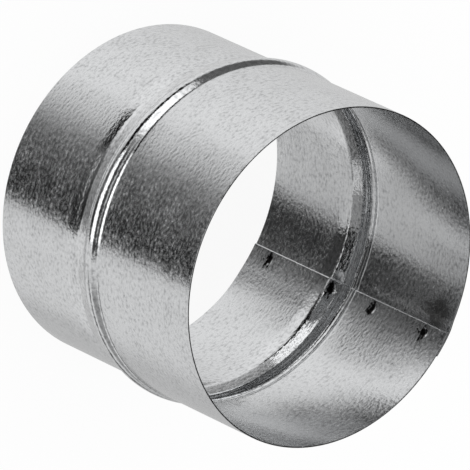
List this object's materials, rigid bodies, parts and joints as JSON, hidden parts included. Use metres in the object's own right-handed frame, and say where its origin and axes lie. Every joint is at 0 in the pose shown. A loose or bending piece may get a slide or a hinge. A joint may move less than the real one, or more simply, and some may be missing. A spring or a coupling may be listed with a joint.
{
  "type": "duct connector",
  "caption": "Round sheet-steel duct connector with a rolled stop bead between a slightly smaller spigot and a socket, lapped and spot-welded along one seam.",
  "frame": {"origin": "centre of the spigot's rim, on the tube's axis", "axes": "+Z along the tube's axis from the spigot to the socket; the inner edge of the welded lap lies towards +Y"},
  "size_m": [0.1292, 0.1297, 0.112],
  "materials": {
    "galvanised_steel": "hot-dip galvanised sheet with a fine spangle"
  },
  "bodies": {
    "root": {"connector": "galvanised_steel"}
  },
  "joints": []
}
